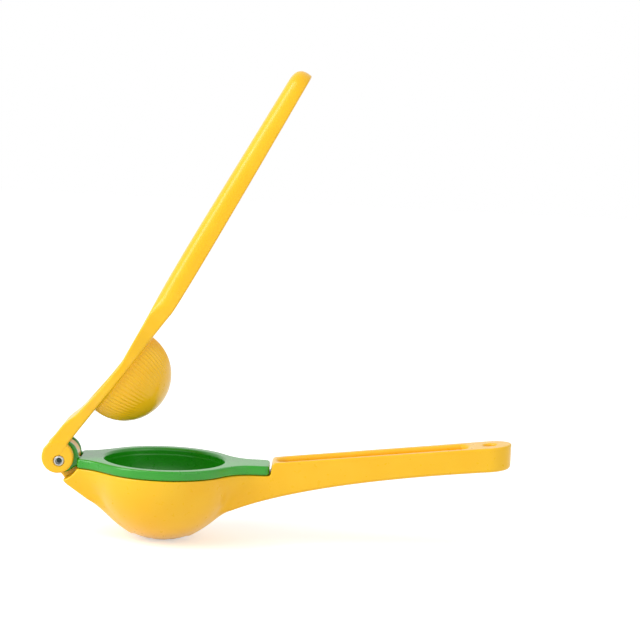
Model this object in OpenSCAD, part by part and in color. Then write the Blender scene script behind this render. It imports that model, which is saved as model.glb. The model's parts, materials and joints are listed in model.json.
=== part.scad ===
// Hinged citrus press: a lemon bowl on the lower lever, a lime bowl that lifts out of it,
// and an upper lever with a hollow press dome, all on one hinge pin.
// The origin is the centre of the flat foot under the lemon bowl. +X runs to the handle ends,
// +Y runs along the hinge pin, +Z is up. The upper lever stands open by open_angle.

/* [Lemon bowl] */
// Outer radius of the lemon bowl
bowl_r = 33; // [31:0.5:36]
// Wall of the lemon bowl
bowl_wall = 2.9; // [2.4:0.1:3.2]
// Radius of the flat foot under the bowl
foot_r = 5; // [4:0.5:7]

/* [Lime bowl] */
// Gap between the nested bowls
nest_gap = 0.45; // [0.4:0.05:0.7]
// Wall of the lime bowl
liner_wall = 2; // [1.6:0.1:2.4]
// Thickness of the lime bowl's flange
flange_t = 4.3; // [3.6:0.1:4.6]
// Width of the flange's tab on the handle side
tab_w = 16; // [14:1:18]
// Reach of that tab from the bowl's centre
tab_reach = 48.7; // [46:0.1:49]

/* [Drain slots] */
// Slots in each bowl
slot_count = 6; // [4:1:8]
// Width of a slot
slot_w = 2.5; // [2:0.5:3.5]
// Distance from the centre to a slot's near end in the lemon bowl
lemon_slot_start = 6.5; // [6.5:0.5:9]
// Distance from the centre to a slot's near end in the lime bowl
lime_slot_start = 5; // [4:0.5:7]
// Length of a slot
slot_len = 5; // [4:0.5:7]

/* [Hinge] */
// Distance from the bowl's centre to the pin
pin_reach = 47.5; // [47:0.5:49]
// Depth of the pin's centre under the flange's top
pin_drop = 1.3; // [1.1:0.1:1.5]
// Radius of the pin
pin_r = 2.5; // [2:0.25:3]
// Width over the outer ears
hinge_w = 24; // [22:1:26]
// Thickness of an outer ear
outer_ear_t = 4; // [3:0.5:4.5]
// Thickness of a lime bowl ear
inner_ear_t = 3; // [2.5:0.5:3.5]
// Radius of the lower lever's knuckle
knuckle_r = 7.6; // [6.8:0.1:7.8]
// Radius of a lime bowl ear
inner_ear_r = 7.6; // [7:0.1:7.8]
// Radius of an outer ear
outer_ear_r = 7.3; // [6.8:0.1:7.4]

/* [Upper lever] */
// Angle between the levers as drawn
open_angle = 54; // [0:1:90]
// Outer radius of the press dome
dome_r = 21.4; // [20:0.2:22]
// Wall of the press dome
dome_wall = 2.5; // [2:0.1:3]
// Straight collar between the plate and the round of the dome
dome_collar = 0.6; // [0.4:0.1:2]
// Flat ledge round the dome
dome_ledge = 1.6; // [1.2:0.1:2.4]
// Thickness of the plate at the dome
plate_t = 4; // [3.6:0.1:4.4]
// Length of the upper lever from the pin
upper_len = 208.5; // [190:0.5:215]

/* [Handles] */
// Width of the handles where they leave the bowl and the dome
handle_w = 16; // [14:1:18]
// Width of the handles at their round ends
handle_end_w = 20; // [18:1:22]
// Reach of the lower handle's end from the bowl's centre
lower_reach = 160; // [150:1:165]
// Thickness of a handle's side walls
side_wall = 2.6; // [2.2:0.2:3]
// Thickness of a handle's web
web = 3; // [2.4:0.2:3.4]
// Radius of the hanging hole
hang_r = 3; // [2.5:0.25:3.5]

/* [Hidden] */
$fn = 96;

yellow = "#fcc52f";
green = "#3ba42c";
steel = "#b9bdbf";

seat_gap = 0.25;      // between the lemon bowl's rim and the flange on it
face_gap = 0.25;      // between the flange and the closed upper lever
side_gap = 0.15;      // between neighbouring faces along the pin
run_gap = 0.08;       // round the pin in the pieces that turn on it
snug_gap = 0.02;      // round the pin in the outer ears
swing_gap = 0.3;      // round the ears and the knuckle
cut = 60;             // overlength of a cutting tool
steps = 14;           // straight pieces in a curved profile

rim_z = sqrt(bowl_r * bowl_r - foot_r * foot_r);
flange_z = rim_z + seat_gap;
top_z = flange_z + flange_t;
pin_z = top_z - pin_drop;
rim_v = rim_z - top_z;
bowl_in = bowl_r - bowl_wall;
liner_r = bowl_in - nest_gap;
liner_in = liner_r - liner_wall;

outer_in = hinge_w / 2 - outer_ear_t;          // inner face of an outer ear
inner_out = outer_in - side_gap;               // outer face of a lime bowl ear
inner_in = inner_out - inner_ear_t;            // inner face of a lime bowl ear
knuckle_w = 2 * (inner_in - side_gap);
knuckle_ahead = 0.6;                           // the knuckle's centre, from the pin
knuckle_rise = 0.9;                            // and above it
shoulder_r = 8.8;                              // the hollow in the neck that the ears turn in
slot_r = 9.2;                                  // the slot in the flange that the knuckle turns in
tab_start = 8.4;                               // the hinge tab's broad end, from the pin
ear_ahead = 0.9;                               // the lime bowl ears' centre, from the pin
ear_rise = 1.5;                                // and above it
ear_u = 0.8;                                   // the outer ears' centre along the upper lever
ear_v = 1.5;                                   // and above the pin

plate_v = pin_drop + face_gap;                 // the plate's underside above the pin
plate_back = plate_v + plate_t;
dome_ahead = 0.8;                              // the dome's centre beyond the bowl's
dome_u = pin_reach + dome_ahead;
arm_back = 8.8;                                // the arms' back at the hinge
handle_v = 18.8;                               // the upper handle's underside at its end
handle_back = 26.6;                            // and its back
upper_channel = 84;                            // the channel's near end

ramp_x = 50;                                   // top of the ramp by which the lower handle rises
ramp_run = 0.8;                                // how far the ramp leans out below
lower_rise = 1.5;                              // the lower handle's start above the flange
lower_slope = 6.8;                             // its slope in degrees
lower_end_z = 3;                               // the underside's end above the flange
pad_len = 20;                                  // solid end of a handle
channel_w = handle_w - 2 * side_wall;          // the channels' widths, near and far
channel_end_w = handle_end_w - 2 * side_wall - 1;

function bezier(a, b, c) =
    [for (i = [0 : steps]) let (t = i / steps) (1 - t) * (1 - t) * a + 2 * t * (1 - t) * b + t * t * c];
function lift(points, by) = [for (p = points) p + [0, by]];
function lower_top(x) = lower_rise + (x - ramp_x) * tan(lower_slope);

// The neck in side view, from the bowl to the knuckle, heights counted from the flange's top
neck = [[-15, rim_v], [-pin_reach, rim_v], [-47.3, -7.8], [-45, -11.3], [-25, -24.8], [-15, -28.7]];
// The lower handle's underside, likewise
under_curve = bezier([20, -28.1], [52, -7.4], [lower_reach, lower_end_z]);
// The upper handle's underside, from the pin
upper_curve = bezier([84, plate_v], [92, plate_v], [upper_len, handle_v]);
// The upper handle's back, from its end to the dome
grip_back = [[upper_len, handle_back], [130, 16.8], [100, 13.3], [72, 8.6]];

// A side profile in X and Z, extruded along Y and centred
module side(width) {
    rotate([90, 0, 0]) linear_extrude(height = width, center = true) children();
}

// A bar in plan: straight sides that widen from w0 at x0 to w1 at its round end at x1
module plan(x0, w0, x1, w1) {
    polygon([[x0, -w0 / 2], [x1 - w1 / 2, -w1 / 2], [x1 - w1 / 2, w1 / 2], [x0, w0 / 2]]);
    translate([x1 - w1 / 2, 0]) circle(r = w1 / 2);
}

// The hollow of a handle in plan, round at both ends
module hollow(x0, w0, x1, w1) {
    translate([x0 + w0 / 2, 0]) circle(r = w0 / 2);
    plan(x0 + w0 / 2, w0, x1, w1);
}

// The corner fillets where a tab of half width h leaves a disc of radius r
module tab_fillets(r, h, f) {
    reach = sqrt((r + f) * (r + f) - (h + f) * (h + f));
    for (m = [0, 1]) mirror([0, m]) difference() {
        polygon([[0, 0], [reach, 0], [reach, h + f]]);
        translate([reach, h + f]) circle(r = f);
    }
}

// A round-bottomed solid of revolution: half a ball and a straight wall of height h above it
module ball_end(r, h) {
    rotate_extrude() {
        intersection() {
            circle(r = r);
            translate([0, -r]) square(r);
        }
        square([r, h]);
    }
}

// A ring of radial slots through a bowl's bottom
module drain_slots(start) {
    for (i = [0 : slot_count - 1]) rotate(i * 360 / slot_count) translate([0, 0, -1]) {
        translate([start + slot_w / 2, 0, 0]) cylinder(r = slot_w / 2, h = rim_z);
        translate([start + slot_len - slot_w / 2, 0, 0]) cylinder(r = slot_w / 2, h = rim_z);
        translate([start + slot_w / 2, -slot_w / 2, 0]) cube([slot_len - slot_w, slot_w, rim_z]);
    }
}

// Moves what is drawn round the pin to the pin's place
module at_pin() {
    translate([-pin_reach, 0, pin_z]) children();
}

// A cylinder along the pin, centred
module across(r, w) {
    rotate([90, 0, 0]) cylinder(r = r, h = w, center = true);
}

// A pair of cylinders along the pin that leave the middle free
module beside(r, from, to) {
    for (m = [0, 1]) mirror([0, m, 0])
        translate([0, from, 0]) rotate([-90, 0, 0]) cylinder(r = r, h = to - from);
}

// Lower lever: a bowl, a neck with the hinge knuckle and a channel handle, cast in one
module lemon_lever() {
    pad_x = lower_reach - handle_end_w / 2;
    color(yellow) difference() {
        union() {
            translate([0, 0, rim_z]) sphere(r = bowl_r);
            translate([0, 0, top_z]) side(hinge_w) polygon(neck);
            at_pin() translate([knuckle_ahead, 0, knuckle_rise]) across(knuckle_r, knuckle_w);
            intersection() {
                translate([0, 0, top_z]) side(cut)
                    polygon(concat(under_curve, [[lower_reach, lower_top(lower_reach)], [ramp_x, lower_rise],
                        [ramp_x - ramp_run, rim_v], [20, rim_v]]));
                linear_extrude(height = 2 * cut) plan(15, handle_w, lower_reach, handle_end_w);
            }
        }
        translate([0, 0, rim_z]) sphere(r = bowl_in);
        translate([-bowl_r - 2, -bowl_r - 1, rim_z]) cube([2 * bowl_r + 4, 2 * bowl_r + 2, cut]);
        translate([0, 0, -2 * foot_r]) cylinder(r = bowl_r, h = 2 * foot_r);
        at_pin() beside(shoulder_r, knuckle_w / 2, hinge_w);
        at_pin() across(pin_r + run_gap, cut);
        drain_slots(lemon_slot_start);
        intersection() {
            translate([0, 0, top_z]) side(cut)
                polygon(concat(lift(under_curve, web), [[lower_reach, cut], [20, cut]]));
            linear_extrude(height = 2 * cut)
                hollow(ramp_x + 4, channel_w, lower_reach - pad_len, channel_end_w);
        }
        translate([pad_x, 0, top_z + lower_top(pad_x)]) rotate([0, -lower_slope, 0])
            cylinder(r = hang_r, h = cut, center = true);
    }
}

// Lime bowl: the green liner with its flange, hinge ears and a lift tab on the handle side
module lime_bowl() {
    color(green) difference() {
        union() {
            translate([0, 0, rim_z]) ball_end(liner_r, flange_z - rim_z + flange_t / 2);
            translate([0, 0, flange_z]) linear_extrude(height = flange_t) {
                circle(r = bowl_r);
                tab_fillets(bowl_r, tab_w / 2, 4);
                translate([0, -tab_w / 2]) square([tab_reach, tab_w]);
                mirror([1, 0]) tab_fillets(bowl_r, hinge_w / 2, 6);
                translate([tab_start - pin_reach, -hinge_w / 2]) square([pin_reach - tab_start, hinge_w]);
                translate([-pin_reach, -inner_out]) square([pin_reach, 2 * inner_out]);
            }
            at_pin() translate([ear_ahead, 0, ear_rise]) beside(inner_ear_r, inner_in, inner_out);
        }
        translate([0, 0, rim_z]) ball_end(liner_in, cut);
        at_pin() across(slot_r, 2 * inner_in);
        at_pin() across(pin_r + run_gap, cut);
        drain_slots(lime_slot_start);
    }
}

// The upper lever's side profile, from the pin: the back falls from the hinge to the plate,
// which is level at the dome, and rises again along the handle
module upper_profile() {
    polygon(concat([[0, plate_v]], upper_curve, grip_back, [[60, 6.7], [50, plate_back], [40, plate_back],
        [30, 6.2], [22.5, 6.9], [15, arm_back], [ear_u, arm_back]]));
}

// The channel under the upper handle, in side view
module upper_channel_profile() {
    polygon(concat(lift(grip_back, -web), [[72, -cut], [upper_len, -cut]]));
}

// Upper lever in the closed position, drawn from the pin
module closed_press() {
    difference() {
        union() {
            intersection() {
                side(cut) upper_profile();
                linear_extrude(height = cut) {
                    translate([-5, -hinge_w / 2]) square([pin_reach, hinge_w]);
                    translate([dome_u, 0]) circle(r = dome_r + dome_ledge);
                    plan(pin_reach, handle_w, upper_len, handle_end_w);
                }
            }
            translate([dome_u, 0, plate_v - dome_collar]) ball_end(dome_r, dome_collar + plate_t / 2);
            translate([ear_u, 0, ear_v]) beside(outer_ear_r, outer_in, hinge_w / 2);
        }
        translate([dome_u, 0, plate_v - dome_collar]) ball_end(dome_r - dome_wall, cut);
        across(inner_ear_r + norm([ear_ahead, ear_rise]) + swing_gap, 2 * outer_in);
        across(pin_r + snug_gap, cut);
        intersection() {
            side(cut) upper_channel_profile();
            translate([0, 0, -cut]) linear_extrude(height = 2 * cut)
                hollow(upper_channel, channel_w, upper_len - pad_len, channel_end_w);
        }
    }
}

// Upper lever: hinge ears, the hollow press dome and a channel handle, cast in one
module press_lever() {
    color(yellow) at_pin() rotate([0, -open_angle, 0]) closed_press();
}

// Hinge pin: a semi-tubular rivet with a chamfered, drilled end on each side
module hinge_pin() {
    half = hinge_w / 2 + 0.2;
    chamfer = 0.5;
    drill_r = 1.6;
    drill_depth = 2.5;
    color(steel) at_pin() rotate([90, 0, 0]) rotate_extrude()
        polygon([[0, drill_depth - half], [drill_r, drill_depth - half], [drill_r, -half],
            [pin_r - chamfer, -half], [pin_r, chamfer - half], [pin_r, half - chamfer],
            [pin_r - chamfer, half], [drill_r, half], [drill_r, half - drill_depth], [0, half - drill_depth]]);
}

lemon_lever();
lime_bowl();
press_lever();
hinge_pin();
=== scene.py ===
import json
import math

import bpy
import numpy as np
import openvdb
from mathutils import Matrix, Vector


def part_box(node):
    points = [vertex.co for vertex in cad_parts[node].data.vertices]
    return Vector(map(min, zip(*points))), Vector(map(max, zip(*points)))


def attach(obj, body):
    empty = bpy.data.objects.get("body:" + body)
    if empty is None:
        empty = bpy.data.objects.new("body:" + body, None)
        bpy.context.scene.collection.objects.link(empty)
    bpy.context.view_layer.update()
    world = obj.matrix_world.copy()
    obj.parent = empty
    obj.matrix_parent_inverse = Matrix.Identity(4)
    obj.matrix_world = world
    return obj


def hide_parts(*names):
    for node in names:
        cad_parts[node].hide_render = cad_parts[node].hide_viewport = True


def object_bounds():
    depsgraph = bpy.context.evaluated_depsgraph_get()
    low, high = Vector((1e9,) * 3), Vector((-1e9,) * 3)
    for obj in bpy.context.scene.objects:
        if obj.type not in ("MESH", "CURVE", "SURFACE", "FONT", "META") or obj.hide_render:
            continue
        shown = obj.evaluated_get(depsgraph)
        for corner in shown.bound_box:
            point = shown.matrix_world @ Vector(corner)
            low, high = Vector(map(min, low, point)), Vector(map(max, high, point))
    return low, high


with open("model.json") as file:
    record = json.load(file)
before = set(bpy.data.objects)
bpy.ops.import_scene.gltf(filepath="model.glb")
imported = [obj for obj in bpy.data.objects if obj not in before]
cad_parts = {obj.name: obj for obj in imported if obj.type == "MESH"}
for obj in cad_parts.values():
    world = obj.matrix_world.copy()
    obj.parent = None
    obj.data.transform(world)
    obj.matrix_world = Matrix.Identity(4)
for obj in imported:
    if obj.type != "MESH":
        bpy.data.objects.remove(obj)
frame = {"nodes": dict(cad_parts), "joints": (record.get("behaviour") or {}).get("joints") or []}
cad_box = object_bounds()

# ---------------------------------------------------------------------------
# Camera. A long lens held a little above the bowls and rolled a little, so that the
# open lever stands nearly edge on.
VIEW_AZIMUTH = math.radians(0.68)
VIEW_ELEVATION = math.radians(6.36)
VIEW_ROLL = math.radians(2.78)
VIEW_DISTANCE = 0.9
VIEW_AIM = Vector((0.0687, 0, 0.1049))
LENS_MM = 110.2
SENSOR_MM = 36

forward = Vector((
    math.sin(VIEW_AZIMUTH) * math.cos(VIEW_ELEVATION),
    math.cos(VIEW_AZIMUTH) * math.cos(VIEW_ELEVATION),
    -math.sin(VIEW_ELEVATION),
))
level = forward.cross(Vector((0, 0, 1))).normalized()
above = level.cross(forward)
right = level * math.cos(VIEW_ROLL) + above * math.sin(VIEW_ROLL)
up = above * math.cos(VIEW_ROLL) - level * math.sin(VIEW_ROLL)

camera_data = bpy.data.cameras.new("camera")
camera_data.lens = LENS_MM
camera_data.sensor_width = SENSOR_MM
camera_data.clip_start = 0.01
camera_data.clip_end = 20
camera = bpy.data.objects.new("camera", camera_data)
bpy.context.scene.collection.objects.link(camera)
camera.matrix_world = Matrix.Translation(VIEW_AIM - forward * VIEW_DISTANCE) @ Matrix(
    (right, up, -forward)
).transposed().to_4x4()
bpy.context.scene.camera = camera

# ---------------------------------------------------------------------------
# Lower lever: the lemon bowl, the neck with the hinge's centre knuckle and the lower
# handle, one aluminium sand casting in thick yellow stove enamel. Every corner is a
# casting fillet that the enamel rounds further.
MM = 0.001
PIN = np.array(frame["joints"][0]["pos_m"]) / MM      # the hinge pin's middle, mm
BOWL_R = (cad_box[1].y - cad_box[0].y) / 2 / MM       # outer radius of the lemon bowl
FOOT_R = 5.0                                          # the small flat under the bowl
BOWL_WALL = 2.9
RIM_Z = math.sqrt(BOWL_R**2 - FOOT_R**2)              # the lemon bowl's rim
PIN_DROP = 1.3                                        # the pin's centre under the flange's top
TOP_Z = PIN[2] + PIN_DROP                             # the green flange's top
BOWL_IN = BOWL_R - BOWL_WALL

HINGE_HALF = 12.0                                     # half the width over the outer ears
KNUCKLE_R = 7.6
KNUCKLE_AHEAD, KNUCKLE_RISE = 0.6, 0.9                # the knuckle's centre, from the pin
KNUCKLE_HALF = 4.7                                    # half its width
SHOULDER_R = 8.8                                      # room for the ears beside the knuckle
BORE_R = 2.58

# The neck's underside: a point and the fall of its slope, and of the steeper nose at the knuckle.
# Heights along the neck and the handle are given over the flange's top.
NECK_POINT, NECK_FALL = (-45.0, -11.3), math.atan2(13.5, 20)
NOSE_POINT, NOSE_FALL = (-47.3, -7.8), math.atan2(3.5, 2.3)
NECK_END = -15.0                                      # inside the bowl wall

HANDLE_X = 15.0                                       # the handle's start, in the bowl wall
HANDLE_HALF = 8.0                                     # half its width there
HANDLE_END_HALF = 10.0
LOWER_END = 160.0
RAMP_X = 50.0                                         # top of the ramp behind the flange's tab
RAMP_LEAN = 0.8 / 6.05                                # run over rise
RAMP_COS = 0.97                                       # makes its offset about a distance
LOWER_RISE = 1.5                                      # the handle's top at the ramp
LOWER_SLOPE = math.radians(6.8)
LOWER_UNDER = (20.0, -28.1), (52.0, -7.4), (LOWER_END, 3.0)
LOWER_CHANNEL_X = RAMP_X + 2.4                        # where the channel in the handle starts
SIDE_WALL = 2.6                                       # beside the channel
WEB = 3.0                                             # under the channel
PAD = 20.0                                            # solid end of a handle
HANG_R = 3.0
HANG_X = LOWER_END - HANDLE_END_HALF
HANG_Z = LOWER_RISE + (HANG_X - RAMP_X) * math.tan(LOWER_SLOPE)

SLOTS = 6
SLOT_HALF = 1.25
SLOT_LEN = 5.0
LEMON_SLOT_START = 6.5                                # from the bowl's centre

CELL = 0.6                                            # spacing of the casting's mesh, mm


def soft_min(a, b, k):
    """Joins two shapes with a fillet of about k mm between them."""
    h = np.maximum(k - np.abs(a - b), 0) / k
    return np.minimum(a, b) - h * h * k / 4


def soft_max(a, b, k):
    """Keeps what two shapes share, with the edge between them rounded to about k mm."""
    return -soft_min(-a, -b, k)


def ball(x, y, z, r):
    """A ball round the origin."""
    return np.sqrt(x * x + y * y + z * z) - r


def cup(x, y, z, r):
    """The lower half of a ball, and a straight wall on it above z = 0."""
    return ball(x, y, np.minimum(z, 0), r)


def evenly(x, x0, value0, x1, value1):
    """A value that changes evenly from value0 at x0 to value1 at x1."""
    return value0 + (value1 - value0) * np.clip((x - x0) / (x1 - x0), 0, 1)


def eased(x, x0, value0, x1, value1):
    """A value that changes from value0 at x0 to value1 at x1 with a soft start and end."""
    t = evenly(x, x0, 0, x1, 1)
    return value0 + (value1 - value0) * t * t * (3 - 2 * t)


def bar_plan(x, y, x0, half0, x1, half1):
    """A widening bar in plan with a round end at x1, open towards x0."""
    past = np.maximum(x - (x1 - half1), 0)
    return np.hypot(past, y) - evenly(x, x0, half0, x1 - half1, half1)


def channel_plan(x, y, x0, x1):
    """The channel in a handle's inner side in plan, round at both ends."""
    half0 = HANDLE_HALF - SIDE_WALL
    half1 = HANDLE_END_HALF - SIDE_WALL - 0.5
    near_end = np.hypot(np.minimum(x - x0 - half0, 0), y) - half0
    return np.maximum(bar_plan(x, y, x0 + half0, half0, x1, half1), near_end)


def slot_ring(x, y, start):
    """The ring of radial drain slots in plan."""
    sector = 2 * math.pi / SLOTS
    turn = np.round(np.arctan2(y, x) / sector) * sector
    along = x * np.cos(turn) + y * np.sin(turn)
    aside = y * np.cos(turn) - x * np.sin(turn)
    inner, outer = start + SLOT_HALF, start + SLOT_LEN - SLOT_HALF
    past = np.maximum(inner - along, 0) + np.maximum(along - outer, 0)
    return np.hypot(past, aside) - SLOT_HALF


def curve_height(x, start, bend, end):
    """Height at x of the curve of second degree from start to end that turns at bend."""
    (x0, z0), (x1, z1), (x2, z2) = start, bend, end
    a, b = x0 - 2 * x1 + x2, x1 - x0
    t = (np.sqrt(np.maximum(b * b + a * (x - x0), 0)) - b) / a
    return (1 - t) ** 2 * z0 + 2 * t * (1 - t) * z1 + t * t * z2


def under_slope(x, drop, point, fall):
    """Distance below a slope that runs down from point towards +x."""
    return -(x - point[0]) * math.sin(fall) - (drop - point[1]) * math.cos(fall)


def lemon_lever_shape(x, y, z):
    """Signed distance to the lower lever, mm. The last number of a join is its fillet."""
    rim, drop = z - RIM_Z, z - TOP_Z
    from_pin = np.hypot(x - PIN[0], z - PIN[2])

    bowl = ball(x, y, rim, BOWL_R)
    slope = under_slope(x, drop, NECK_POINT, NECK_FALL)
    nose = under_slope(x, drop, NOSE_POINT, NOSE_FALL)
    # The edges of neck and handle are rounder where they meet the bowl.
    neck_edge = evenly(x, -34, 1.6, -24, 7.6)
    neck = soft_max(np.abs(y) - HINGE_HALF, soft_max(slope, nose, 1), neck_edge)
    neck = soft_max(neck, np.maximum(x - NECK_END, PIN[0] - x), 1)

    plan = bar_plan(x, y, HANDLE_X, HANDLE_HALF, LOWER_END, HANDLE_END_HALF)
    under_height = curve_height(x, *LOWER_UNDER)
    under = (under_height - drop) * math.cos(LOWER_SLOPE)
    handle_edge = evenly(x, 26, 6.8, 32, 1.8)
    handle = soft_max(soft_max(plan, under, handle_edge), HANDLE_X - x, 1)

    # The fillets round the bowl are broad at the rim and tight below.
    fillet = eased(drop, -20, 4, -6, 11)
    body = soft_min(soft_min(bowl, neck, fillet), handle, fillet)

    top_height = LOWER_RISE + (x - RAMP_X) * math.tan(LOWER_SLOPE)
    handle_top = (drop - top_height) * math.cos(LOWER_SLOPE)
    ramp = (RAMP_X - (LOWER_RISE - drop) * RAMP_LEAN - x) * RAMP_COS
    body = soft_max(body, soft_min(rim, soft_max(handle_top, ramp, 1.5), 1.2), 0.7)
    body = soft_max(body, -ball(x, y, rim, BOWL_IN), 1.0)

    knuckle = np.hypot(x - PIN[0] - KNUCKLE_AHEAD, z - PIN[2] - KNUCKLE_RISE) - KNUCKLE_R
    body = soft_min(body, soft_max(knuckle, np.abs(y) - KNUCKLE_HALF, 0.8), 1.5)
    shoulder = soft_max(from_pin - SHOULDER_R, KNUCKLE_HALF - np.abs(y), 0.3)
    body = soft_max(body, -shoulder, 1.0)
    body = soft_max(body, BORE_R - from_pin, 0.6)

    channel = channel_plan(x, y, LOWER_CHANNEL_X, LOWER_END - PAD)
    floor_of_channel = (under_height + WEB - drop) * math.cos(LOWER_SLOPE)
    body = soft_max(body, -soft_max(channel, floor_of_channel, 3), 2.0)
    beside = (x - HANG_X) * math.cos(LOWER_SLOPE) + (drop - HANG_Z) * math.sin(LOWER_SLOPE)
    body = soft_max(body, HANG_R - np.hypot(beside, y), 1.2)

    slots = np.maximum(slot_ring(x, y, LEMON_SLOT_START), z - RIM_Z / 2)
    return soft_max(soft_max(body, -slots, 0.7), -z, 0.5)


def casting(name, shape, low, high, cell=CELL, extra=None, place=None):
    """A mesh object from the zero surface of shape, a signed distance in mm, between two corners.
    Each point is then drawn onto the surface, and the surface's own normals shade it. extra is
    one more closed shell of the piece, and place is where the finished piece stands."""
    low, high = np.array(low) - 2 * cell, np.array(high) + 2 * cell
    lines = [np.arange(a, b, cell, dtype=np.float32) for a, b in zip(low, high)]
    x, y, z = np.meshgrid(*lines, indexing="ij", sparse=True)
    grid = openvdb.FloatGrid(3 * cell)
    grid.copyFromArray(np.clip(shape(x, y, z), -3 * cell, 3 * cell).astype(np.float32))
    points, quads = grid.convertToQuads(0)
    points = points.astype(float) * cell + low

    def slope(p, step=0.02):
        columns = [
            shape(*(p + step * e).T) - shape(*(p - step * e).T) for e in np.eye(3)
        ]
        return np.stack(columns, 1) / (2 * step)

    for _ in range(3):
        g = slope(points)
        points -= (shape(*points.T) / np.maximum((g * g).sum(1), 0.2))[:, None] * g
    normals = slope(points)
    faces = outwards(points, quads.astype(np.int64))
    if extra is not None:
        more_points, more_normals, more_faces = extra
        faces = np.concatenate([faces, more_faces + len(points)])
        points = np.concatenate([points, more_points])
        normals = np.concatenate([normals, more_normals])
    if place is not None:
        points, normals = place(points), place(points + normals) - place(points)
    return mesh_object(name, points, faces, normals)


def outwards(points, faces):
    """Turns a closed mesh's faces round if they point inwards."""
    a, b, c = (points[faces[:, i]] for i in (0, 1, 2))
    volume = np.einsum("ij,ij->i", a, np.cross(b - a, c - a)).sum()
    return faces if volume > 0 else faces[:, ::-1]


def mesh_object(name, points, faces, normals=None):
    """A smooth mesh object from points in mm."""
    mesh = bpy.data.meshes.new(name)
    mesh.from_pydata((points * MM).tolist(), [], faces.tolist())
    mesh.shade_smooth()
    if normals is not None:
        normals = normals / np.linalg.norm(normals, axis=1)[:, None]
        mesh.normals_split_custom_set_from_vertices(normals.tolist())
    piece = bpy.data.objects.new(name, mesh)
    bpy.context.scene.collection.objects.link(piece)
    return piece


def linear(hex_code):
    """An sRGB hex colour as the linear numbers that a shader takes."""
    parts = [int(hex_code[i : i + 2], 16) / 255 for i in (1, 3, 5)]
    return [p / 12.92 if p <= 0.04045 else ((p + 0.055) / 1.055) ** 2.4 for p in parts] + [1]


def add_node(tree, kind, inputs=None, **settings):
    """Adds a node. An input is a number or colour, or the output socket that feeds it."""
    node = tree.nodes.new(kind)
    for key, value in settings.items():
        setattr(node, key, value)
    for key, value in (inputs or {}).items():
        if isinstance(value, bpy.types.NodeSocket):
            tree.links.new(value, node.inputs[key])
        else:
            node.inputs[key].default_value = value
    return node


def new_material(name):
    """Starts a node material. Returns it, its tree, its shader and its coordinates in metres."""
    material = bpy.data.materials.new(name)
    material.use_nodes = True
    tree = material.node_tree
    tree.nodes.clear()
    shader = add_node(tree, "ShaderNodeBsdfPrincipled")
    add_node(tree, "ShaderNodeOutputMaterial", {"Surface": shader.outputs["BSDF"]})
    coordinates = add_node(tree, "ShaderNodeTexCoord").outputs["Object"]
    return material, tree, shader, coordinates


def stove_enamel(name, body_hex, thin_hex, shine, coat):
    """Stove enamel on a casting: a clear gloss over even colour, with the faint waviness that the
    casting's skin leaves (about 9 mm), orange peel in the gloss (about 1.2 mm) and a slightly
    thinner, lighter coat here and there. shine is its specular level, coat its clear top layer."""
    material, tree, shader, coordinates = new_material(name)
    patches = add_node(
        tree, "ShaderNodeTexNoise", {"Vector": coordinates, "Scale": 1 / (18 * MM), "Detail": 2}
    )
    ramp = add_node(tree, "ShaderNodeValToRGB", {"Fac": patches.outputs["Fac"]})
    ramp.color_ramp.elements[0].position, ramp.color_ramp.elements[1].position = 0.35, 0.7
    ramp.color_ramp.elements[0].color = linear(body_hex)
    ramp.color_ramp.elements[1].color = linear(thin_hex)
    tree.links.new(ramp.outputs["Color"], shader.inputs["Base Color"])
    speckle = add_node(
        tree, "ShaderNodeTexNoise", {"Vector": coordinates, "Scale": 1 / (2.5 * MM), "Detail": 3}
    )
    gloss = add_node(
        tree,
        "ShaderNodeMapRange",
        {"Value": speckle.outputs["Fac"], "To Min": 0.24, "To Max": 0.34},
    )
    tree.links.new(gloss.outputs["Result"], shader.inputs["Roughness"])
    waves = add_node(
        tree, "ShaderNodeTexNoise", {"Vector": coordinates, "Scale": 1 / (9 * MM), "Detail": 1}
    )
    peel = add_node(
        tree, "ShaderNodeTexNoise", {"Vector": coordinates, "Scale": 1 / (1.2 * MM), "Detail": 1}
    )
    wavy = add_node(
        tree,
        "ShaderNodeBump",
        {"Height": waves.outputs["Fac"], "Strength": 0.5, "Distance": 0.12 * MM},
    )
    skin = add_node(
        tree,
        "ShaderNodeBump",
        {
            "Height": peel.outputs["Fac"],
            "Strength": 0.35,
            "Distance": 0.02 * MM,
            "Normal": wavy.outputs["Normal"],
        },
    )
    tree.links.new(skin.outputs["Normal"], shader.inputs["Normal"])
    shader.inputs["IOR"].default_value = 1.5
    shader.inputs["Specular IOR Level"].default_value = shine
    shader.inputs["Coat Weight"].default_value = coat
    shader.inputs["Coat Roughness"].default_value = 0.12
    return material


YELLOW, YELLOW_THIN = "#FFC312", "#FFC81E"
yellow_enamel = stove_enamel("yellow enamelled cast aluminium", YELLOW, YELLOW_THIN, 0.38, 0.1)


def dress(piece, material, node, body):
    """Gives a piece its finish, puts it in a CAD node's place and lets it move with its body."""
    piece.data.materials.append(material)
    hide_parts(node)
    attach(piece, body)


lower = casting(
    "lemon_bowl_lever",
    lemon_lever_shape,
    (PIN[0] - KNUCKLE_R, -BOWL_R, 0),
    (LOWER_END, BOWL_R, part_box("lemon_lever")[1].z / MM),
)
dress(lower, yellow_enamel, "lemon_lever", "lower_lever")

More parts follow.
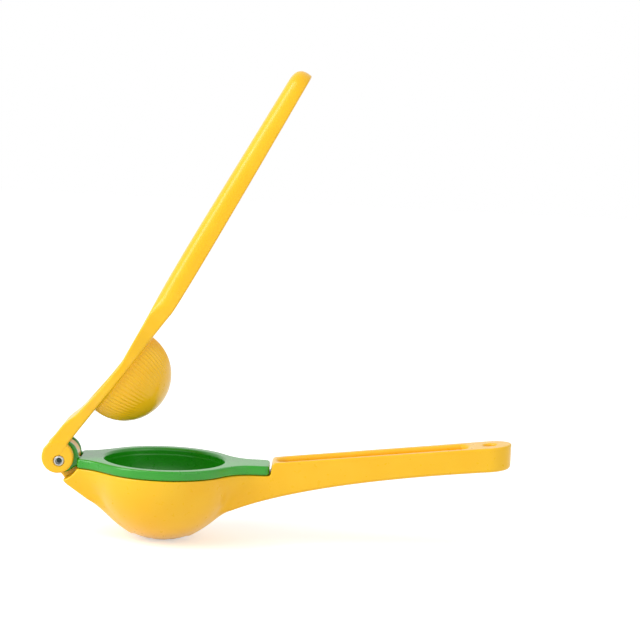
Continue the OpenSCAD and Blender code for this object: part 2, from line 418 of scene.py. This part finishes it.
# ---------------------------------------------------------------------------
# Lime bowl: a thin green enamelled casting that lies in the lemon bowl on its flange and
# lifts on the hinge pin. The flange has a broad tab with two ears at the pin and a
# narrow lift tab on the handle side.
SEAT_GAP = 0.25                                       # enamel between rim and flange
FLANGE_Z = RIM_Z + SEAT_GAP
NEST_GAP = 0.45
LINER_R = BOWL_IN - NEST_GAP
LINER_WALL = 2.0
TAB_HALF = 9.0
TAB_END = 48.7
LIFT_TAB_FILLET, HINGE_TAB_FILLET = 11.0, 12.0        # where the tabs leave the round flange
HINGE_TAB_X = PIN[0] + 8.4                            # end of the broad tab, before the ears
EAR_IN, EAR_OUT = 4.85, 7.85                          # the ears' faces, from the middle
EAR_R = 7.5
EAR_AHEAD, EAR_RISE = 0.8, 1.5                        # the ears' centre, from the pin
TONGUE_R = 9.2                                        # the slot that the knuckle turns in
LIME_SLOT_START = 5.0
GREEN, GREEN_THIN = "#199A08", "#22A214"


def lime_bowl_shape(x, y, z):
    """Signed distance to the lime bowl, mm."""
    rim = z - RIM_Z
    disc = np.hypot(x, y) - BOWL_R
    lift_tab = np.maximum(soft_max(np.abs(y) - TAB_HALF, x - TAB_END, 2.5), -x)
    hinge_tab = np.maximum(np.abs(y) - HINGE_HALF, x)
    plan = soft_min(soft_min(disc, lift_tab, LIFT_TAB_FILLET), hinge_tab, HINGE_TAB_FILLET)
    plan = soft_max(plan, HINGE_TAB_X - x, 1.2)
    ear_roots = np.maximum(np.abs(y) - EAR_OUT, np.maximum(PIN[0] - x, x))
    plan = np.minimum(plan, ear_roots)
    flange_middle = (FLANGE_Z + TOP_Z) / 2
    flange = soft_max(plan, np.abs(z - flange_middle) - (TOP_Z - FLANGE_Z) / 2, 1.0)

    liner = np.maximum(cup(x, y, rim, LINER_R), z - flange_middle)
    body = np.minimum(flange, liner)
    body = soft_max(body, -cup(x, y, rim, LINER_R - LINER_WALL), 1.6)

    from_pin = np.hypot(x - PIN[0], z - PIN[2])
    ear_round = np.hypot(x - PIN[0] - EAR_AHEAD, z - PIN[2] - EAR_RISE) - EAR_R
    ear_sides = np.abs(np.abs(y) - (EAR_IN + EAR_OUT) / 2) - (EAR_OUT - EAR_IN) / 2
    body = soft_min(body, soft_max(ear_round, ear_sides, 0.8), 1.0)
    body = soft_max(body, np.minimum(TONGUE_R - from_pin, EAR_IN - np.abs(y)), 0.5)
    body = soft_max(body, BORE_R - from_pin, 0.5)
    slots = np.maximum(slot_ring(x, y, LIME_SLOT_START), z - RIM_Z / 2)
    return soft_max(body, -slots, 0.7)


green_enamel = stove_enamel("green enamelled cast aluminium", GREEN, GREEN_THIN, 0.5, 0.3)
lime = casting(
    "lime_bowl_liner",
    lime_bowl_shape,
    (PIN[0] - EAR_R, -BOWL_R, RIM_Z - LINER_R),
    (TAB_END, BOWL_R, PIN[2] + EAR_RISE + EAR_R),
)
dress(lime, green_enamel, "lime_bowl", "lime_insert")

# ---------------------------------------------------------------------------
# Upper lever: two hinge ears, a plate with the hollow press dome and the upper handle, one yellow
# enamelled casting with fine flutes down the dome's side and a back well rounded for the palm.
# It is shaped closed, u along it from the pin and v above the pin, and then opened.
OPEN_ANGLE = math.radians(54)
OUTER_EAR_R = 7.29
OUTER_EAR_IN = 8.0                                    # the ears' inner faces, from the middle
EAR_U, EAR_V = 0.8, 1.5                               # the ears' centre, from the pin
GAP_R = EAR_R + math.hypot(EAR_AHEAD, EAR_RISE) + 0.3  # the round gap between the ears
PLATE_V, PLATE_BACK = 1.55, 5.55                      # the plate's faces
ARM_START = EAR_U - 1.5
DOME_U = 0.8 - PIN[0]                                 # the dome's axis
DOME_R = 21.4
DOME_V = PLATE_V - 0.6                                # the dome's centre, under a short collar
DOME_WALL = 2.5
EAR_BORE_R = BORE_R - 0.06                            # a tighter fit on the pin
DISC_R = DOME_R + 1.6                                 # the plate round the dome
PLAN_FILLET = 9.0                                     # where arm and handle leave the disc
UPPER_LEN = 208.5
UPPER_UNDER = (84.0, PLATE_V), (92.0, PLATE_V), (UPPER_LEN, 18.8)
UPPER_CHANNEL_U = 84.0
PALM_U, PALM_EDGE = (78.0, 87.0), 7.2                 # where the back gets round, and how round
UPPER_TOP = 27.0
ARM_BACK = 8.8
# Straight stretches of the back: a point on each, u and v, and its rise per mm.
BEHIND_HINGE, ARM = (15.0, ARM_BACK, -0.253), (22.5, 6.9, -0.077)
BEHIND_PLATE, GRIP = (72.0, 8.6, 0.168), (100.0, 13.3, 0.1226)

FLUTES = 64
FLUTE_DEPTH = 0.5
FLUTE_POWER = 1.3                                     # over 1, lands are wider than grooves
# Angles from the collar to the apex at which the flutes begin to fade and are gone.
FLUTE_FULL, FLUTE_NONE = math.radians(17), math.radians(47)
FLUTE_POINTS = 8                                      # mesh points across a flute
SKIN = 0.5                                            # how far the casting lies under the skin
LINING_R = DOME_R - SKIN - 0.7                        # the shell's inner side, in the casting
SKIN_RINGS, COLLAR_RINGS = 30, 3
APEX_GAP = 0.002                                      # rad, a pinhole too small to see


def on_line(u, line):
    """Height at u of a straight line given by a point and a rise."""
    point_u, point_v, rise = line
    return point_v + (u - point_u) * rise


def upper_back(u):
    """Height of the lever's back: it drops behind the hinge, falls to the plate and rises again
    along the handle."""
    arm = soft_max(soft_min(ARM_BACK, on_line(u, BEHIND_HINGE), 0.6), on_line(u, ARM), 0.5)
    grip = soft_min(on_line(u, BEHIND_PLATE), on_line(u, GRIP), 1.2)
    return soft_max(soft_max(arm, grip, 0.8), PLATE_BACK, 0.4)


def press_lever_shape(u, y, v):
    """Signed distance to the closed upper lever, mm, without the dome's fluted skin."""
    from_pin = np.hypot(u, v)
    arm_plan = soft_max(np.abs(y) - HINGE_HALF, np.maximum(u - DOME_U, ARM_START - u), 1)
    handle_plan = bar_plan(u, y, DOME_U, HANDLE_HALF, UPPER_LEN, HANDLE_END_HALF)
    disc_plan = np.hypot(u - DOME_U, y) - DISC_R
    plan = soft_min(arm_plan, disc_plan, PLAN_FILLET)
    plan = soft_min(plan, np.maximum(handle_plan, DOME_U - u), PLAN_FILLET)

    # The slopes are gentle, so heights times 0.99 are distances. The rounding takes a little
    # off the back, which is put back on.
    under = (curve_height(u, *UPPER_UNDER) - v) * 0.99
    back = (v - upper_back(u)) * 0.99
    edge = evenly(u, PALM_U[0], 1.0, PALM_U[1], PALM_EDGE)
    body = soft_max(plan, back - 0.05 * (edge - 1), edge)
    body = soft_max(body, under, 0.8)

    dome = cup(u - DOME_U, y, v - DOME_V, DOME_R - SKIN)
    body = soft_min(body, soft_max(dome, v - PLATE_V - 1, 0.5), 1.6)
    ear_sides = np.maximum(np.abs(y) - HINGE_HALF, OUTER_EAR_IN - np.abs(y))
    ears = soft_max(np.hypot(u - EAR_U, v - EAR_V) - OUTER_EAR_R, ear_sides, 1.0)
    body = soft_min(body, ears, 0.8)
    body = soft_max(body, -soft_max(from_pin - GAP_R, np.abs(y) - OUTER_EAR_IN, 0.3), 0.8)
    body = soft_max(body, EAR_BORE_R - from_pin, 0.5)
    body = soft_max(body, -cup(u - DOME_U, y, v - DOME_V, DOME_R - DOME_WALL), 1.8)

    channel = channel_plan(u, y, UPPER_CHANNEL_U, UPPER_LEN - PAD)
    roof = v - upper_back(u) + WEB
    return soft_max(body, -soft_max(channel, roof, 2.5), 1.2)


def fluted_skin():
    """The dome's outer skin as a thin closed shell: rings from the apex to the collar, and up the
    collar into the plate. Returns its points, normals and faces."""
    around = FLUTES * FLUTE_POINTS
    turn = np.arange(around) * 2 * math.pi / around
    dip = np.append(np.linspace(math.pi / 2 - APEX_GAP, 0, SKIN_RINGS), np.zeros(COLLAR_RINGS))
    lift = np.append(np.zeros(SKIN_RINGS), np.linspace(0.4, 1.3, COLLAR_RINGS))
    rings = len(dip)
    depth = FLUTE_DEPTH * eased(dip, FLUTE_FULL, 1, FLUTE_NONE, 0)
    wave = 0.5 - 0.5 * np.cos(turn * FLUTES)
    outer = DOME_R - depth[:, None] * wave[None, :] ** FLUTE_POWER

    def ring_points(radius):
        flat = radius * np.cos(dip)[:, None]
        return np.stack([
            DOME_U + flat * np.cos(turn)[None, :],
            flat * np.sin(turn)[None, :],
            DOME_V + lift[:, None] - radius * np.sin(dip)[:, None],
        ], -1)

    skin, lining = ring_points(outer), ring_points(np.full_like(outer, LINING_R))
    points = np.concatenate([skin.reshape(-1, 3), lining.reshape(-1, 3)])
    index = np.arange(rings * around).reshape(rings, around)
    beside = np.roll(index, -1, 1)
    quads = np.stack([index[:-1], index[1:], beside[1:], beside[:-1]], -1).reshape(-1, 4)
    below = rings * around
    rim = np.stack([index[-1], index[-1] + below, beside[-1] + below, beside[-1]], -1)
    apex = np.stack([index[0], beside[0], beside[0] + below, index[0] + below], -1)
    faces = outwards(points, np.concatenate([quads, quads[:, ::-1] + below, rim, apex]))

    across = np.roll(skin, -1, 1) - np.roll(skin, 1, 1)
    normal = np.cross(across, np.gradient(skin, axis=0))
    centre = np.array([DOME_U, 0, DOME_V])
    normal *= np.sign((normal * (skin - centre)).sum(-1, keepdims=True))
    normals = np.concatenate([normal.reshape(-1, 3), (centre - lining).reshape(-1, 3)])
    return points, normals, faces


def opened(points):
    """Turns points from the closed position, (u, y, v), to where the open lever stands."""
    c, s = math.cos(OPEN_ANGLE), math.sin(OPEN_ANGLE)
    u, y, v = points.T
    return np.stack([PIN[0] + u * c - v * s, y, PIN[2] + u * s + v * c], 1)


upper = casting(
    "press_dome_lever",
    press_lever_shape,
    (EAR_U - OUTER_EAR_R, -DISC_R, DOME_V - DOME_R),
    (UPPER_LEN, DISC_R, UPPER_TOP),
    extra=fluted_skin(),
    place=opened,
)
dress(upper, yellow_enamel, "press_lever", "upper_lever")

# ---------------------------------------------------------------------------
# Hinge pin: a semi-tubular rivet of bright drawn steel, turned at both ends and set flush
# with the outer ears. The middle of each drilled end is painted dark, a painted shade and dark
# reflection in the hole, and the rim round it is the bright steel.
pin = frame["nodes"]["hinge_pin"]
PAINTED_SHADE_R = 1.7                                        # the painted shade in the middle of an end, mm
PAINTED_SHADE_EDGE = 0.7                                     # over which the painted shade fades into the bright steel round it
# The third colour is the painted shade in the middle of the pin's ends.
STEEL, STEEL_LIGHT, PAINTED_SHADE = "#9FA2A1", "#D4D6D5", "#37423C"


def turned_steel(name):
    """Bright drawn steel: fine turning lines, drawn 0.5 mm apart so that they show, vary its
    tone and gloss, and the middle of each end is painted dark, a painted shade in the drilled
    hole."""
    material, tree, shader, coordinates = new_material(name)
    lines = add_node(
        tree,
        "ShaderNodeTexNoise",
        {"Vector": coordinates, "Scale": 1 / (0.5 * MM), "Detail": 4},
    )
    gloss = add_node(
        tree, "ShaderNodeMapRange", {"Value": lines.outputs["Fac"], "To Min": 0.2, "To Max": 0.38}
    )
    tree.links.new(gloss.outputs["Result"], shader.inputs["Roughness"])
    tint = add_node(tree, "ShaderNodeValToRGB", {"Fac": lines.outputs["Fac"]})
    tint.color_ramp.elements[0].color = linear(STEEL)
    tint.color_ramp.elements[1].color = linear(STEEL_LIGHT)
    # Distance from the pin's axis, which runs along Y.
    flat = add_node(
        tree,
        "ShaderNodeVectorMath",
        {0: coordinates, 1: (1, 0, 1)},
        operation="MULTIPLY",
    )
    around = add_node(
        tree,
        "ShaderNodeVectorMath",
        {0: flat.outputs["Vector"], 1: (PIN[0] * MM, 0, PIN[2] * MM)},
        operation="DISTANCE",
    )
    # Mask of the painted shade: 0 in the middle of an end, 1 on the steel round it.
    rim = add_node(
        tree,
        "ShaderNodeMapRange",
        {
            "Value": around.outputs["Value"],
            "From Min": (PAINTED_SHADE_R - PAINTED_SHADE_EDGE) * MM,
            "From Max": PAINTED_SHADE_R * MM,
        },
        interpolation_type="SMOOTHSTEP",
    )
    colour = add_node(
        tree,
        "ShaderNodeMix",
        {0: rim.outputs["Result"], 6: linear(PAINTED_SHADE), 7: tint.outputs["Color"]},
        data_type="RGBA",
    )
    tree.links.new(colour.outputs[2], shader.inputs["Base Color"])
    bump = add_node(
        tree,
        "ShaderNodeBump",
        {"Height": lines.outputs["Fac"], "Strength": 0.3, "Distance": 0.02 * MM},
    )
    tree.links.new(bump.outputs["Normal"], shader.inputs["Normal"])
    shader.inputs["Metallic"].default_value = 1
    return material


pin.data.materials.clear()
pin.data.materials.append(turned_steel("bright drawn steel"))

# ---------------------------------------------------------------------------
# Floor, backdrop and lights: a pale sweep under soft studio light. For the camera and in
# reflections the sweep and the world go to white, and the floor keeps the contact shadow.
FLOOR_HALF = 3.0                                      # m
FLOOR_Z = -0.0001                                     # just under the foot
FLOOR_HEX = "#EDEDEB"
FLOOR_GLOW = 0.5                                      # takes the lit floor to white where seen
WORLD_LIGHT = 0.6                                     # strength of the light from all round


def white_where_seen(tree):
    """1 for camera, glossy and transmission rays, 0 for the rays that carry light."""
    path = add_node(tree, "ShaderNodeLightPath")
    seen = add_node(
        tree,
        "ShaderNodeMath",
        {0: path.outputs["Is Camera Ray"], 1: path.outputs["Is Glossy Ray"]},
        operation="MAXIMUM",
    )
    return add_node(
        tree,
        "ShaderNodeMath",
        {0: seen.outputs[0], 1: path.outputs["Is Transmission Ray"]},
        operation="MAXIMUM",
    ).outputs[0]


floor_mesh = bpy.data.meshes.new("floor")
corners = [(-1, -1), (1, -1), (1, 1), (-1, 1)]
floor_points = [(a * FLOOR_HALF, b * FLOOR_HALF, FLOOR_Z) for a, b in corners]
floor_mesh.from_pydata(floor_points, [], [(0, 1, 2, 3)])
floor = bpy.data.objects.new("floor", floor_mesh)
bpy.context.scene.collection.objects.link(floor)
floor_material = bpy.data.materials.new("pale floor")
floor_material.use_nodes = True
tree = floor_material.node_tree
tree.nodes.clear()
matt = add_node(tree, "ShaderNodeBsdfDiffuse", {"Color": linear(FLOOR_HEX)})
glow_strength = add_node(
    tree,
    "ShaderNodeMath",
    {0: white_where_seen(tree), 1: FLOOR_GLOW},
    operation="MULTIPLY",
)
glow = add_node(tree, "ShaderNodeEmission", {"Strength": glow_strength.outputs[0]})
both = add_node(tree, "ShaderNodeAddShader", {0: matt.outputs[0], 1: glow.outputs[0]})
add_node(tree, "ShaderNodeOutputMaterial", {"Surface": both.outputs[0]})
floor_mesh.materials.append(floor_material)

world = bpy.data.worlds.new("studio")
bpy.context.scene.world = world
world.use_nodes = True
tree = world.node_tree
tree.nodes.clear()
level_of_light = add_node(
    tree,
    "ShaderNodeMapRange",
    {"Value": white_where_seen(tree), "To Min": WORLD_LIGHT, "To Max": 1.0},
)
background = add_node(
    tree, "ShaderNodeBackground", {"Color": [1, 1, 1, 1], "Strength": level_of_light.outputs[0]}
)
add_node(tree, "ShaderNodeOutputWorld", {"Surface": background.outputs[0]})


def softbox(name, place, aim, width, height, watts):
    """A large soft lamp at place that faces aim."""
    lamp_data = bpy.data.lights.new(name, "AREA")
    lamp_data.shape = "RECTANGLE"
    lamp_data.size = width
    lamp_data.size_y = height
    lamp_data.energy = watts
    lamp = bpy.data.objects.new(name, lamp_data)
    bpy.context.scene.collection.objects.link(lamp)
    lamp.location = place
    lamp.rotation_mode = "QUATERNION"
    lamp.rotation_quaternion = (Vector(aim) - Vector(place)).to_track_quat("-Z", "Y")


LIT_POINT = (0.03, 0, 0.08)
softbox("side softbox", (-0.93, -0.38, 0.64), LIT_POINT, 0.45, 1.1, 6.8)
softbox("key softbox", (-0.7, -0.7, 1.1), LIT_POINT, 0.9, 0.9, 4.2)
softbox("fill softbox", (1.0, -0.9, 0.5), LIT_POINT, 0.9, 0.9, 2.4)

bpy.context.scene.view_settings.view_transform = "Standard"
